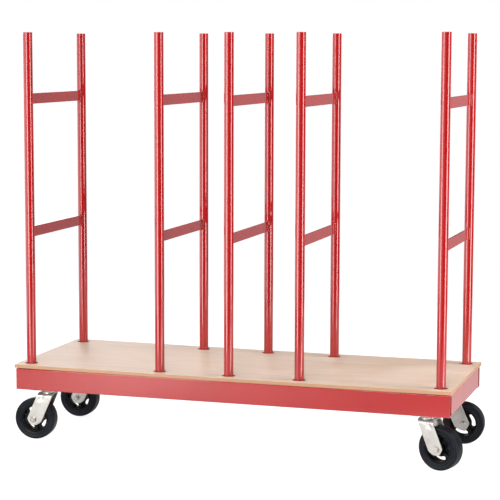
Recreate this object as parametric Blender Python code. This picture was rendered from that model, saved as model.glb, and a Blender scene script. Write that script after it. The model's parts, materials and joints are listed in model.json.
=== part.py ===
# Parts cart: a plywood deck on a welded channel frame, five pipe frames that lift out
# of sockets under the deck, and four swivel casters with rubber tyres.
# Metres, +Z up. The origin is on the floor under the middle of the deck. +X runs along
# the deck and -Y is the front.

import math

import bmesh
import bpy
from mathutils import Matrix

for old_object in list(bpy.data.objects):
    bpy.data.objects.remove(old_object, do_unlink=True)

# Clearances shared by all pieces
FIT_GAP = 0.0003  # between pieces that are welded together, seated or turning
WELD_BITE = 0.001  # how far the shapes of one welded or cast piece run into each other
CUT_MARGIN = 0.01  # how far a cutter stands out of what it cuts

# Plywood deck
DECK_LENGTH = 1.600
DECK_WIDTH = 0.578
DECK_THICKNESS = 0.0127
DECK_SHADOW_GAP = 0.0025  # deck underside above the top of the side rails
DECK_SIDE_OVERHANG = 0.003
DECK_END_OVERHANG = 0.0055
DECK_HOLE_CLEARANCE = 0.0063  # from a tube to the edge of its hole

# Rails of channel, tight at the outside of the bends
RAIL_HEIGHT = 0.0762
RAIL_WALL = 0.0048
RAIL_INSIDE_BEND = 0.0035
RAIL_OUTSIDE_BEND = 0.0025
SIDE_RAIL_DEPTH = 0.0254
END_RAIL_DEPTH = 0.0190

# Upright frames of pipe and flat bar
INNER_FRAME_OFFSET = 0.257  # from the middle frame to the next one
TUBE_DIAMETER = 0.0334
TUBE_WALL = 0.0034
TUBE_RISE = 1.192  # above the deck
RUNG_HEIGHT = 0.0381
RUNG_THICKNESS = 0.005
LOWER_RUNG_RISE = 0.4777  # middle of the rung above the deck
UPPER_RUNG_RISE = 0.9565

# Cross bars with a socket at each end
SOCKET_CLEARANCE = 0.0008
SOCKET_WALL = 0.0036
SOCKET_FLOOR = 0.006
SOCKET_DRAIN_DIAMETER = 0.010
CROSS_BAR_THICKNESS = 0.0064
CROSS_BAR_HEIGHT = 0.0508

# Plates that carry the casters
MOUNT_PLATE_THICKNESS = 0.0064
MOUNT_PLATE_MARGIN = 0.0092  # mount plate beyond the caster's own plate
CASTER_BOLT_ROOM = 0.0115  # for nuts between a mount plate and a socket

# Casters: place, top plate and swivel
CASTER_END_INSET = 0.0905  # king bolt from the outer face of the end rail
CASTER_SIDE_INSET = 0.086  # king bolt from the outer face of the side rail
TOP_PLATE_LENGTH = 0.1016
TOP_PLATE_WIDTH = 0.1143
TOP_PLATE_THICKNESS = 0.0064
TOP_PLATE_CORNER = 0.008
BOLT_HOLE_DIAMETER = 0.0110
BOLT_SPACING_LENGTH = 0.0667
BOLT_SPACING_WIDTH = 0.0921
RACE_HEIGHT = 0.013
UPPER_RACE_DIAMETER = 0.068
LOWER_RACE_DIAMETER = 0.054
LOWER_RACE_ROOT = 0.0035  # sunk into the crown, as deep as its shoulders fall away
KING_BOLT_DIAMETER = 0.016
KING_BOLT_FLATS = 0.024
KING_HEAD_HEIGHT = 0.009
KING_NUT_HEIGHT = 0.009
KING_HEAD_ROOM = 0.004  # from the head's corners to the hole in the mount plate

# Casters: fork bent from plate
TRAIL = 0.050  # king bolt to axle
FORK_WALL = 0.005
FORK_OUTSIDE_BEND = 0.016
CROWN_LENGTH = 0.058
CROWN_OFFSET = 0.002  # middle of the crown from the king bolt, towards the axle
LEG_WIDTH = 0.060  # level width at the axle
LEG_OFFSET = -0.004  # middle of the leg from the axle
LEG_DROP = 0.0207  # from the axle to the toe
TOE_LENGTH = 0.024
FRONT_CORNER_DROP = 0.010  # where the leading edge turns to the toe, below the axle
REAR_CORNER_RISE = 0.002  # where the trailing edge turns to the toe, above the axle
WHEEL_HEADROOM = 0.0183  # from the tyre to the crown

# Casters: axle bolt, bearing and wheel
AXLE_DIAMETER = 0.0127
AXLE_FLATS = 0.019
AXLE_HEAD_HEIGHT = 0.008
AXLE_NUT_HEIGHT = 0.011
BEARING_WALL = 0.008
WHEEL_DIAMETER = 0.1524
TYRE_WIDTH = 0.050
TYRE_THICKNESS = 0.028
TYRE_SHOULDER = 0.008
TYRE_BEAD_RISE = 0.006  # where the tyre reaches its full width, above the rim
TYRE_SIDE_CLEARANCE = 0.0032
RIM_WALL = 0.0036
RIM_INSET = 0.004  # rim edge in from the tyre's side
HUB_WALL = 0.008
WEB_THICKNESS = 0.010
RIB_THICKNESS = 0.005
RIB_INSET = 0.006  # rib edge in from the rim's edge
WINDOW_COUNT = 3
WINDOW_SPAN = math.radians(73)
WINDOW_HUB_MARGIN = 0.0065
WINDOW_RIM_MARGIN = 0.0015

# How each caster stands: side along X, side along Y, heading of the trail and angle of a window
CASTERS = {
    "front_left": (-1, -1, math.radians(184), math.radians(79)),
    "front_right": (1, -1, math.radians(-18), math.radians(28)),
    "rear_left": (-1, 1, math.radians(180), math.radians(75)),
    "rear_right": (1, 1, math.radians(3), math.radians(18)),
}

# Facets of round shapes
TUBE_SIDES = 20
SMALL_SIDES = 16
HOLE_SIDES = 8
DECK_HOLE_SIDES = 20
RACE_SIDES = 24
CORE_SIDES = 24
TYRE_SIDES = 36
HEX_SIDES = 6
BEND_STEPS = 3
WINDOW_STEPS = 6

# Levels and places worked out from the sizes
axle_height = WHEEL_DIAMETER / 2
crown_bottom = WHEEL_DIAMETER + WHEEL_HEADROOM
crown_top = crown_bottom + FORK_WALL
top_plate_bottom = crown_top + RACE_HEIGHT
caster_height = top_plate_bottom + TOP_PLATE_THICKNESS
rail_bottom = caster_height + FIT_GAP
rail_top = rail_bottom + RAIL_HEIGHT
deck_bottom = rail_top + DECK_SHADOW_GAP
deck_top = deck_bottom + DECK_THICKNESS
end_rail_bottom = deck_bottom - FIT_GAP - RAIL_HEIGHT
side_face = DECK_WIDTH / 2 - DECK_SIDE_OVERHANG
end_face = DECK_LENGTH / 2 - DECK_END_OVERHANG
inside_half_width = side_face - SIDE_RAIL_DEPTH - FIT_GAP
mount_plate_top = rail_bottom + MOUNT_PLATE_THICKNESS

tube_radius = TUBE_DIAMETER / 2
socket_bore = tube_radius + SOCKET_CLEARANCE
socket_radius = socket_bore + SOCKET_WALL
socket_bottom = mount_plate_top + CASTER_BOLT_ROOM
socket_floor_top = socket_bottom + SOCKET_FLOOR
tube_bottom = socket_floor_top + FIT_GAP
tube_offset = inside_half_width - socket_radius
outer_frame_offset = end_face - END_RAIL_DEPTH - FIT_GAP - socket_radius
frame_offsets = (-outer_frame_offset, -INNER_FRAME_OFFSET, 0, INNER_FRAME_OFFSET, outer_frame_offset)

caster_offset_x = end_face - CASTER_END_INSET
caster_offset_y = side_face - CASTER_SIDE_INSET
axle_radius = AXLE_DIAMETER / 2
hub_half_length = TYRE_WIDTH / 2 + TYRE_SIDE_CLEARANCE
leg_inside = hub_half_length + FIT_GAP
leg_outside = leg_inside + FORK_WALL
bearing_radius = axle_radius + FIT_GAP + BEARING_WALL
hub_bore = bearing_radius + FIT_GAP
hub_radius = hub_bore + HUB_WALL
rim_radius = WHEEL_DIAMETER / 2 - TYRE_THICKNESS
rim_inside = rim_radius - RIM_WALL
rim_half_width = TYRE_WIDTH / 2 - RIM_INSET

along_x = Matrix(((0, 0, 1, 0), (1, 0, 0, 0), (0, 1, 0, 0), (0, 0, 0, 1)))  # outline in Y and Z
along_y = Matrix.Rotation(math.pi / 2, 4, "X")  # outline in X and Z


def finish(name, colour, roughness, metallic):
    material = bpy.data.materials.new(name)
    material.use_nodes = True
    shader = material.node_tree.nodes["Principled BSDF"]
    shader.inputs["Base Color"].default_value = (*colour, 1)
    shader.inputs["Roughness"].default_value = roughness
    shader.inputs["Metallic"].default_value = metallic
    return material


red_paint = finish("red_paint", (0.50, 0.016, 0.020), 0.35, 0)
plywood = finish("plywood", (0.78, 0.60, 0.43), 0.65, 0)
zinc_plate = finish("zinc_plate", (0.78, 0.77, 0.74), 0.35, 1)
black_iron = finish("black_iron", (0.012, 0.012, 0.013), 0.5, 0)
black_rubber = finish("black_rubber", (0.020, 0.021, 0.025), 0.6, 0)
bearing_steel = finish("bearing_steel", (0.55, 0.55, 0.56), 0.3, 1)


def arc(centre, radius, start, stop, steps=BEND_STEPS):
    turns = [start + (stop - start) * step / steps for step in range(steps + 1)]
    return [
        (centre[0] + radius * math.cos(turn), centre[1] + radius * math.sin(turn))
        for turn in turns
    ]


def polygon(radius, sides, phase=0.5):
    return [
        (radius * math.cos(math.tau * (k + phase) / sides), radius * math.sin(math.tau * (k + phase) / sides))
        for k in range(sides)
    ]


# A hole's flats, not its corners, keep clear of the round piece inside it.
def around(radius, sides):
    return radius / math.cos(math.pi / sides)


def hexagon(flats):
    return polygon(around(flats / 2, HEX_SIDES), HEX_SIDES)


def rectangle(low_u, high_u, low_v, high_v):
    return [(low_u, low_v), (high_u, low_v), (high_u, high_v), (low_u, high_v)]


def mesh_of(shape):
    bmesh.ops.recalc_face_normals(shape, faces=shape.faces)
    mesh = bpy.data.meshes.new("shape")
    shape.to_mesh(mesh)
    shape.free()
    return mesh


def prism(outline, low, high, turn=None, centre=(0, 0)):
    shape = bmesh.new()
    base = shape.faces.new([shape.verts.new((u + centre[0], v + centre[1], low)) for u, v in outline])
    grown = bmesh.ops.extrude_face_region(shape, geom=[base])["geom"]
    top = [item for item in grown if isinstance(item, bmesh.types.BMVert)]
    bmesh.ops.translate(shape, verts=top, vec=(0, 0, high - low))
    if turn:
        bmesh.ops.transform(shape, matrix=turn, verts=shape.verts)
    return mesh_of(shape)


# A ring turned from a closed profile of radius and height.
def turned(profile, sides, turn=None, centre=(0, 0)):
    shape = bmesh.new()
    spokes = polygon(1, sides)
    rings = [
        [shape.verts.new((radius * u + centre[0], radius * v + centre[1], height)) for radius, height in profile]
        for u, v in spokes
    ]
    count = len(profile)
    for k in range(sides):
        here, there = rings[k], rings[(k + 1) % sides]
        for i in range(count):
            j = (i + 1) % count
            shape.faces.new((here[i], there[i], there[j], here[j]))
    if turn:
        bmesh.ops.transform(shape, matrix=turn, verts=shape.verts)
    return mesh_of(shape)


def combine(mesh, other, operation):
    body = bpy.data.objects.new("body", mesh)
    tool = bpy.data.objects.new("tool", other)
    for item in (body, tool):
        bpy.context.scene.collection.objects.link(item)
    modifier = body.modifiers.new("combine", "BOOLEAN")
    modifier.operation = operation
    modifier.object = tool
    bpy.context.view_layer.update()
    graph = bpy.context.evaluated_depsgraph_get()
    result = bpy.data.meshes.new_from_object(body.evaluated_get(graph))
    for item in (body, tool):
        bpy.data.objects.remove(item)
    return result


def cut(mesh, *tools):
    for tool in tools:
        mesh = combine(mesh, tool, "DIFFERENCE")
    return mesh


def join(mesh, *others):
    for other in others:
        mesh = combine(mesh, other, "UNION")
    return mesh


def pivot(name, location, heading=0, parent=None):
    empty = bpy.data.objects.new(name, None)
    empty.location = location
    empty.rotation_euler.z = heading
    empty.parent = parent
    bpy.context.scene.collection.objects.link(empty)
    return empty


def place(name, mesh, material, location=(0, 0, 0), rotation=(0, 0, 0), parent=None):
    if not mesh.materials:
        mesh.materials.append(material)
        mesh.shade_smooth()
        mesh.set_sharp_from_angle(angle=math.radians(35))
    piece = bpy.data.objects.new(name, mesh)
    piece.location = location
    piece.rotation_euler = rotation
    piece.parent = parent
    bpy.context.scene.collection.objects.link(piece)
    return piece


# Channel outline with its web at zero and its flanges towards +u.
def channel_outline(depth):
    outer, inner = RAIL_OUTSIDE_BEND, RAIL_INSIDE_BEND
    seat = RAIL_WALL + inner
    half, full = math.pi / 2, math.pi
    return [
        (depth, 0),
        *arc((outer, outer), outer, 3 * half, full),
        *arc((outer, RAIL_HEIGHT - outer), outer, full, half),
        (depth, RAIL_HEIGHT),
        (depth, RAIL_HEIGHT - RAIL_WALL),
        *arc((seat, RAIL_HEIGHT - seat), inner, half, full),
        *arc((seat, seat), inner, full, 3 * half),
        (depth, RAIL_WALL),
    ]


def make_rails():
    side = prism(channel_outline(SIDE_RAIL_DEPTH), -end_face, end_face, along_x)
    end = prism(channel_outline(END_RAIL_DEPTH), -inside_half_width, inside_half_width, along_x)
    place("side_rail_front", side, red_paint, (0, -side_face, rail_bottom))
    place("side_rail_rear", side, red_paint, (0, side_face, rail_bottom), (0, 0, math.pi))
    place("end_rail_left", end, red_paint, (-end_face, 0, end_rail_bottom), (0, 0, -math.pi / 2))
    place("end_rail_right", end, red_paint, (end_face, 0, end_rail_bottom), (0, 0, math.pi / 2))


def make_deck():
    outline = rectangle(-DECK_LENGTH / 2, DECK_LENGTH / 2, -DECK_WIDTH / 2, DECK_WIDTH / 2)
    board = prism(outline, deck_bottom, deck_top)
    hole = polygon(around(tube_radius + DECK_HOLE_CLEARANCE, DECK_HOLE_SIDES), DECK_HOLE_SIDES)
    for x in frame_offsets:
        for y in (-tube_offset, tube_offset):
            board = cut(board, prism(hole, deck_bottom - CUT_MARGIN, deck_top + CUT_MARGIN, centre=(x, y)))
    place("deck_board", board, plywood)


def make_cross_bars():
    bar_face = socket_radius - WELD_BITE
    bar_outline = rectangle(bar_face, bar_face + CROSS_BAR_THICKNESS, -inside_half_width, inside_half_width)
    bar_top = deck_bottom - FIT_GAP
    bore = around(socket_bore, TUBE_SIDES)
    cup = [
        (SOCKET_DRAIN_DIAMETER / 2, socket_bottom),
        (socket_radius, socket_bottom),
        (socket_radius, rail_top),
        (bore, rail_top),
        (bore, socket_floor_top),
        (SOCKET_DRAIN_DIAMETER / 2, socket_floor_top),
    ]
    bar = prism(bar_outline, bar_top - CROSS_BAR_HEIGHT, bar_top)
    cups = [turned(cup, TUBE_SIDES, centre=(0, y)) for y in (-tube_offset, tube_offset)]
    bar = join(bar, *cups)
    for number, x in enumerate(frame_offsets, 1):
        turn = math.pi if x > 0 else 0
        place(f"socket_cross_bar_{number}", bar, red_paint, (x, 0, 0), (0, 0, turn))


def make_upright_frames():
    foot = tube_bottom - deck_top
    bore = tube_radius - TUBE_WALL
    tube = turned([(bore, foot), (tube_radius, foot), (tube_radius, TUBE_RISE), (bore, TUBE_RISE)], TUBE_SIDES)
    rung_reach = tube_offset - tube_radius * math.cos(math.pi / TUBE_SIDES) - FIT_GAP
    half_thick = RUNG_THICKNESS / 2
    rung_outline = rectangle(-half_thick, half_thick, -rung_reach, rung_reach)
    rung = prism(rung_outline, -RUNG_HEIGHT / 2, RUNG_HEIGHT / 2)
    for number, x in enumerate(frame_offsets, 1):
        lift = pivot(f"frame_{number}_lift", (x, 0, deck_top))
        place(f"frame_{number}_tube_front", tube, red_paint, (0, -tube_offset, 0), parent=lift)
        place(f"frame_{number}_tube_rear", tube, red_paint, (0, tube_offset, 0), parent=lift)
        place(f"frame_{number}_rung_lower", rung, red_paint, (0, 0, LOWER_RUNG_RISE), parent=lift)
        place(f"frame_{number}_rung_upper", rung, red_paint, (0, 0, UPPER_RUNG_RISE), parent=lift)


def bolt_hole_places():
    half_length, half_width = BOLT_SPACING_LENGTH / 2, BOLT_SPACING_WIDTH / 2
    return [(u * half_length, v * half_width) for u in (-1, 1) for v in (-1, 1)]


def make_mount_plates():
    half = TOP_PLATE_LENGTH / 2 + MOUNT_PLATE_MARGIN
    plate = prism(rectangle(-half, half, -inside_half_width, inside_half_width), rail_bottom, mount_plate_top)
    low, high = rail_bottom - CUT_MARGIN, mount_plate_top + CUT_MARGIN
    head_corner = around(KING_BOLT_FLATS / 2, HEX_SIDES)
    head_hole = polygon(around(head_corner + KING_HEAD_ROOM, SMALL_SIDES), SMALL_SIDES)
    bolt_hole = polygon(around(BOLT_HOLE_DIAMETER / 2, HOLE_SIDES), HOLE_SIDES)
    for y in (-caster_offset_y, caster_offset_y):
        plate = cut(plate, prism(head_hole, low, high, centre=(0, y)))
        for u, v in bolt_hole_places():
            plate = cut(plate, prism(bolt_hole, low, high, centre=(u, v + y)))
    place("caster_mount_plate_left", plate, red_paint, (-caster_offset_x, 0, 0))
    place("caster_mount_plate_right", plate, red_paint, (caster_offset_x, 0, 0))


def top_plate_mesh():
    half_length, half_width = TOP_PLATE_LENGTH / 2, TOP_PLATE_WIDTH / 2
    corner_u, corner_v = half_length - TOP_PLATE_CORNER, half_width - TOP_PLATE_CORNER
    corners = [(corner_u, corner_v), (-corner_u, corner_v), (-corner_u, -corner_v), (corner_u, -corner_v)]
    outline = []
    for quarter, corner in enumerate(corners):
        start = quarter * math.pi / 2
        outline += arc(corner, TOP_PLATE_CORNER, start, start + math.pi / 2)
    plate = prism(outline, top_plate_bottom, caster_height)
    low, high = top_plate_bottom - CUT_MARGIN, caster_height + CUT_MARGIN
    bolt_hole = polygon(around(BOLT_HOLE_DIAMETER / 2, HOLE_SIDES), HOLE_SIDES)
    for place_of_hole in bolt_hole_places():
        plate = cut(plate, prism(bolt_hole, low, high, centre=place_of_hole))
    race_bottom = top_plate_bottom - RACE_HEIGHT / 2 + FIT_GAP / 2
    race = prism(polygon(UPPER_RACE_DIAMETER / 2, RACE_SIDES), race_bottom, top_plate_bottom + WELD_BITE)
    bore = polygon(around(KING_BOLT_DIAMETER / 2 + FIT_GAP, SMALL_SIDES), SMALL_SIDES)
    return cut(join(plate, race), prism(bore, race_bottom - CUT_MARGIN, high))


def king_bolt_mesh():
    nut_top = crown_bottom - FIT_GAP
    nut_bottom = nut_top - KING_NUT_HEIGHT
    head_bottom = caster_height + FIT_GAP
    shank = prism(polygon(KING_BOLT_DIAMETER / 2, SMALL_SIDES), nut_bottom, head_bottom + WELD_BITE)
    nut = prism(hexagon(KING_BOLT_FLATS), nut_bottom - WELD_BITE, nut_top)
    head = prism(hexagon(KING_BOLT_FLATS), head_bottom, head_bottom + KING_HEAD_HEIGHT)
    return join(shank, nut, head)


# Side view of the fork: a leaning strip from the crown to a toe with two cut corners.
def fork_side_outline():
    def edge(crown_end, leg_end, height):
        share = (crown_top - height) / (crown_top - axle_height)
        return (crown_end + (leg_end - crown_end) * share, height)

    crown_front, crown_rear = CROWN_OFFSET - CROWN_LENGTH / 2, CROWN_OFFSET + CROWN_LENGTH / 2
    leg_front, leg_rear = TRAIL + LEG_OFFSET - LEG_WIDTH / 2, TRAIL + LEG_OFFSET + LEG_WIDTH / 2
    toe = axle_height - LEG_DROP
    return [
        (crown_front, crown_top + CUT_MARGIN),
        (crown_front, crown_top),
        edge(crown_front, leg_front, axle_height - FRONT_CORNER_DROP),
        (TRAIL - TOE_LENGTH / 2, toe),
        (TRAIL + TOE_LENGTH / 2, toe),
        edge(crown_rear, leg_rear, axle_height + REAR_CORNER_RISE),
        (crown_rear, crown_top),
        (crown_rear, crown_top + CUT_MARGIN),
    ]


# End view of the fork: a strip bent twice into an upside-down U.
def fork_end_outline():
    bottom = axle_height - LEG_DROP - CUT_MARGIN
    inside_bend = FORK_OUTSIDE_BEND - FORK_WALL
    right = (leg_outside - FORK_OUTSIDE_BEND, crown_top - FORK_OUTSIDE_BEND)
    left = (-right[0], right[1])
    half, full = math.pi / 2, math.pi
    return [
        (-leg_outside, bottom),
        *arc(left, FORK_OUTSIDE_BEND, full, half),
        *arc(right, FORK_OUTSIDE_BEND, half, 0),
        (leg_outside, bottom),
        (leg_inside, bottom),
        *arc(right, inside_bend, 0, half),
        *arc(left, inside_bend, half, full),
        (-leg_inside, bottom),
    ]


def fork_mesh():
    reach = TRAIL + LEG_WIDTH + CROWN_LENGTH
    strip = prism(fork_end_outline(), -reach, reach, along_x)
    side = prism(fork_side_outline(), -leg_outside - CUT_MARGIN, leg_outside + CUT_MARGIN, along_y)
    fork = combine(strip, side, "INTERSECT")
    race_top = top_plate_bottom - RACE_HEIGHT / 2 - FIT_GAP / 2
    race = prism(polygon(LOWER_RACE_DIAMETER / 2, RACE_SIDES), crown_top - LOWER_RACE_ROOT, race_top)
    king_hole = polygon(around(KING_BOLT_DIAMETER / 2 + FIT_GAP, SMALL_SIDES), SMALL_SIDES)
    axle_hole = polygon(around(axle_radius + FIT_GAP, SMALL_SIDES), SMALL_SIDES)
    reach_across = leg_outside + CUT_MARGIN
    return cut(
        join(fork, race),
        prism(king_hole, crown_bottom - CUT_MARGIN, race_top + CUT_MARGIN),
        prism(axle_hole, -reach_across, reach_across, along_y, (TRAIL, axle_height)),
    )


def axle_bolt_mesh():
    seat = leg_outside + FIT_GAP
    shank = prism(polygon(axle_radius, SMALL_SIDES), -seat - WELD_BITE, seat + WELD_BITE, along_y)
    nut = prism(hexagon(AXLE_FLATS), -seat - AXLE_NUT_HEIGHT, -seat, along_y)
    head = prism(hexagon(AXLE_FLATS), seat, seat + AXLE_HEAD_HEIGHT, along_y)
    return join(shank, nut, head)


def bearing_mesh():
    bore = around(axle_radius + FIT_GAP, SMALL_SIDES)
    low, high = -hub_half_length, hub_half_length
    return turned([(bore, low), (bearing_radius, low), (bearing_radius, high), (bore, high)], SMALL_SIDES, along_y)


# A slot bent round the hub, with round ends.
def window_outline():
    inner, outer = hub_radius + WINDOW_HUB_MARGIN, rim_inside - WINDOW_RIM_MARGIN
    middle, half = (inner + outer) / 2, (outer - inner) / 2
    swing = WINDOW_SPAN / 2 - math.asin(half / middle)
    end = (middle * math.cos(swing), middle * math.sin(swing))
    start = (end[0], -end[1])
    return [
        *arc((0, 0), outer, -swing, swing, WINDOW_STEPS)[:-1],
        *arc(end, half, swing, swing + math.pi, 2 * BEND_STEPS)[:-1],
        *arc((0, 0), inner, swing, -swing, WINDOW_STEPS)[:-1],
        *arc(start, half, math.pi - swing, math.tau - swing, 2 * BEND_STEPS)[:-1],
    ]


def core_mesh():
    bore, web = around(hub_bore, CORE_SIDES), WEB_THICKNESS / 2
    lower_half = [
        (bore, -hub_half_length),
        (hub_radius, -hub_half_length),
        (hub_radius, -web),
        (rim_inside, -web),
        (rim_inside, -rim_half_width),
        (rim_radius, -rim_half_width),
    ]
    upper_half = [(radius, -height) for radius, height in reversed(lower_half)]
    core = turned(lower_half + upper_half, CORE_SIDES)
    rib_reach = rim_half_width - RIB_INSET
    half_rib = RIB_THICKNESS / 2
    rib_outline = rectangle(hub_radius - WELD_BITE, rim_inside + WELD_BITE, -half_rib, half_rib)
    for number in range(WINDOW_COUNT):
        window_turn = Matrix.Rotation(math.tau * number / WINDOW_COUNT, 4, "Z")
        spoke_turn = Matrix.Rotation(math.tau * (number + 0.5) / WINDOW_COUNT, 4, "Z")
        core = cut(core, prism(window_outline(), -web - CUT_MARGIN, web + CUT_MARGIN, window_turn))
        core = join(core, prism(rib_outline, -rib_reach, rib_reach, spoke_turn))
    core.transform(along_y)
    return core


# The flats of the tread, not its corners, lie at the wheel's radius, so a flat stands on the floor.
def tyre_mesh():
    inside = around(rim_radius + FIT_GAP, TYRE_SIDES)
    tread = around(WHEEL_DIAMETER / 2, TYRE_SIDES)
    half_width = TYRE_WIDTH / 2
    shoulder = (tread - TYRE_SHOULDER, -half_width + TYRE_SHOULDER)
    lower_half = [
        (inside, -rim_half_width),
        (inside + TYRE_BEAD_RISE, -half_width),
        *arc(shoulder, TYRE_SHOULDER, -math.pi / 2, 0, 2),
    ]
    upper_half = [(radius, -height) for radius, height in reversed(lower_half)]
    return turned(lower_half + upper_half, TYRE_SIDES, along_y)


def make_casters():
    top_plate, king_bolt, fork = top_plate_mesh(), king_bolt_mesh(), fork_mesh()
    axle_bolt, bearing, core, tyre = axle_bolt_mesh(), bearing_mesh(), core_mesh(), tyre_mesh()
    for corner, (side_x, side_y, heading, window_angle) in CASTERS.items():
        name = f"caster_{corner}"
        spot = (side_x * caster_offset_x, side_y * caster_offset_y, 0)
        place(f"{name}_top_plate", top_plate, zinc_plate, spot)
        place(f"{name}_king_bolt", king_bolt, zinc_plate, spot)
        swivel = pivot(f"{name}_swivel", spot, heading)
        axle = pivot(f"{name}_axle", (TRAIL, 0, axle_height), parent=swivel)
        place(f"{name}_fork", fork, zinc_plate, parent=swivel)
        place(f"{name}_axle_bolt", axle_bolt, zinc_plate, parent=axle)
        place(f"{name}_bearing", bearing, bearing_steel, parent=axle)
        place(f"{name}_core", core, black_iron, rotation=(0, -window_angle, 0), parent=axle)
        place(f"{name}_tyre", tyre, black_rubber, parent=axle)


make_rails()
make_deck()
make_cross_bars()
make_upright_frames()
make_mount_plates()
make_casters()
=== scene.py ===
import json
import math
import random

import bmesh
import bpy
from mathutils import Matrix, Vector
from mathutils.geometry import tessellate_polygon


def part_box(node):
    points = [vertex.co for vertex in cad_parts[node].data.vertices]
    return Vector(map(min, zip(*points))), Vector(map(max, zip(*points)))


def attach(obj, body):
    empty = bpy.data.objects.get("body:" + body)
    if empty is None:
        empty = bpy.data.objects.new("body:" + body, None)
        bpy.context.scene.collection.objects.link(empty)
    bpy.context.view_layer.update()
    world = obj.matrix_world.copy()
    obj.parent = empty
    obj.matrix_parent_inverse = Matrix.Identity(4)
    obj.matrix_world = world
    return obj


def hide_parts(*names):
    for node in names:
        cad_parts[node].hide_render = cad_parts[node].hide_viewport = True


# Parts cart: plywood deck, red channel frame, five lift-out pipe frames, four swivel casters.
# Metres, +Z up, floor at zero, -Y is the front.

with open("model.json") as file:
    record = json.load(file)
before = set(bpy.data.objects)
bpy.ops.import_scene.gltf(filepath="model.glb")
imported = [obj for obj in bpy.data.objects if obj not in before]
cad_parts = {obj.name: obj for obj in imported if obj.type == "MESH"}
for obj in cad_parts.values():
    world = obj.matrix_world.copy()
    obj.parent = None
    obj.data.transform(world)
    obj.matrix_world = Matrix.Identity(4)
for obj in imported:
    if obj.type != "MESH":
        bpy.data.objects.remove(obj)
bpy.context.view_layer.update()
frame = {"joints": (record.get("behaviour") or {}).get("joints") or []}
joints = {joint["name"]: joint for joint in frame["joints"]}
cornerNames = ("front_left", "front_right", "rear_left", "rear_right")


# camera

cameraValues = {
    "place": (1.83185, -5.79102, 1.41722),
    "yaw": -0.30607,  # radians, towards the left
    "pitch": -0.11739,
    "roll": 0.00238,
    "lens": 121.996,
    "sensor": 36.0,
    "farthest": 200.0,
}


def makeCamera():
    v = cameraValues
    data = bpy.data.cameras.new("photo_camera")
    data.sensor_width = v["sensor"]
    data.lens = v["lens"]
    data.clip_end = v["farthest"]
    camera = bpy.data.objects.new("photo_camera", data)
    turn = Matrix.Rotation(-v["yaw"], 4, "Z") @ Matrix.Rotation(math.pi / 2 + v["pitch"], 4, "X")
    camera.matrix_world = Matrix.Translation(v["place"]) @ turn @ Matrix.Rotation(v["roll"], 4, "Z")
    bpy.context.scene.collection.objects.link(camera)
    bpy.context.scene.camera = camera


# floor and light

studioValues = {
    "floorX": (-3.2, 3.2, 64),  # from, to, steps
    "floorY": (-2.35, 3.4, 58),
    "floorColour": (0.40, 0.40, 0.40, 1),
    "floorSeen": 0.90,  # the sheet's own white, so shadows stay faint
    "roomSeen": 1.0,
    "roomColour": (0.97, 0.98, 1.0, 1),
    # light of the sheet by zone, as bounce and in mirrors
    "floorUnder": 0.61,
    "floorAround": 0.41,
    "floorFront": 0.095,
    "underHalf": (1.0, 0.5),
    "zoneEdge": 0.55,
    "zoneSoft": 0.12,
    # brighter patches of the sheet: x, y, wide, deep, strength
    "floorPatches": [
        (-1.35, -1.4, 0.36, 0.5, 0.33),
        (-0.80, -1.4, 0.36, 0.5, 1.07),
        (-0.20, -1.4, 0.36, 0.5, 0.39),
        (2.0, -0.80, 1.0, 0.36, 6.0),
    ],
    # light of the room: towards, spread, strength
    "roomLobes": [
        ((-0.707, -0.707, 0.0), 0.55, 0.92),
        ((-1.0, 0.0, 0.0), 0.55, 1.14),
        ((0.39, 0.92, 0.0), 0.85, 0.49),
        ((-0.56, 0.81, 0.18), 0.94, 5.6),
    ],
    "lampColour": (1.0, 0.975, 0.945),
    # softboxes: place, aim, width, height, watts
    "softboxes": {
        "left_softbox": ((-1.05, -2.05, 0.80), (0.0, 0.0, 0.80), 0.76, 1.6, 23.0),
        "right_softbox": ((3.30, -0.80, 0.80), (0.3, -0.2, 0.80), 1.1, 1.6, 42.0),
        "high_softbox": ((3.0, 0.3, 2.6), (0.0, 0.0, 1.2), 1.8, 1.0, 77.0),
        "top_softbox": ((-0.9, 0.4, 3.4), (-0.2, 0.1, 0.3), 2.6, 1.8, 30.0),
        "front_softbox": ((0.4, -4.6, 3.4), (0.0, 0.0, 0.5), 2.6, 1.4, 138.0),
    },
}


def floorGlow(x, y):
    v = studioValues
    halfX, halfY = v["underHalf"]
    under = max(0.0, 1 - (x / halfX) ** 6) * max(0.0, 1 - (y / halfY) ** 6)
    front = 0.5 - 0.5 * math.tanh((y + v["zoneEdge"]) / v["zoneSoft"])
    back = 0.5 + 0.5 * math.tanh((y - v["zoneEdge"]) / v["zoneSoft"])
    around = (back + max(0.0, 1 - front - back)) * (1 - under)
    glow = under * v["floorUnder"] + front * v["floorFront"] + around * v["floorAround"]
    for spotX, spotY, wide, deep, strength in v["floorPatches"]:
        glow += strength * math.exp(-((x - spotX) / wide) ** 2 - ((y - spotY) / deep) ** 2)
    return glow


def lightRoom(scene):
    v = studioValues
    scene.world = bpy.data.worlds.new("studio")
    scene.world.use_nodes = True
    tree = scene.world.node_tree
    seen = tree.nodes["Background"]
    feed(tree, seen, {"Color": (1, 1, 1, 1), "Strength": v["roomSeen"]})
    way = addNode(tree, "TexCoord").outputs["Generated"]
    total = 0.0
    for towards, spread, strength in v["roomLobes"]:
        axis = Vector(towards).normalized()
        facing = addNode(tree, "VectorMath", {0: way, 1: axis}, operation="DOT_PRODUCT").outputs["Value"]
        total = mathOf(tree, "ADD", remap(tree, facing, spread, 1.0, 0.0, strength), total)
    lighting = addNode(tree, "Background", {"Color": v["roomColour"], "Strength": total})
    seenHere = addNode(tree, "LightPath").outputs["Is Camera Ray"]
    choice = addNode(tree, "MixShader", {0: seenHere, 1: lighting.outputs[0], 2: seen.outputs[0]})
    feed(tree, tree.nodes["World Output"], {"Surface": choice.outputs[0]})


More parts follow.
